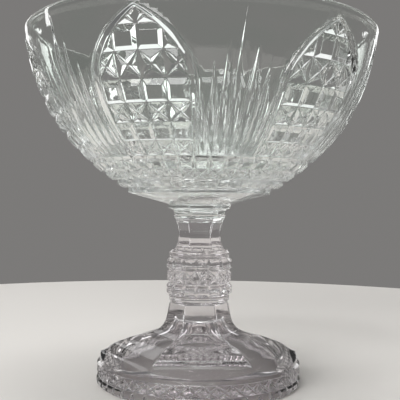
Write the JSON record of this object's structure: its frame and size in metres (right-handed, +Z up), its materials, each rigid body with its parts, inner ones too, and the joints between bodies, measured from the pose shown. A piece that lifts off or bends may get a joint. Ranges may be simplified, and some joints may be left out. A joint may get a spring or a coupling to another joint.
{
  "type": "pedestal bowl",
  "caption": "Footed serving bowl of pressed clear glass with arched diamond panels and fans of ribs, on a hexagonal stem with a patterned knop and a domed foot.",
  "frame": {"origin": "centre of the foot's resting face", "axes": "+Z up through the stem to the bowl's mouth; -Y faces the middle of one arched panel"},
  "size_m": [0.2106, 0.2108, 0.21],
  "materials": {
    "bowl_glass": "clear pressed glass with a faint green cast",
    "wafer_glass": "clear fire-polished glass",
    "pedestal_glass": "clear pressed glass with a faint lilac cast"
  },
  "bodies": {
    "root": {"bowl": "bowl_glass", "joining_wafer": "wafer_glass", "pedestal": "pedestal_glass"}
  },
  "joints": []
}
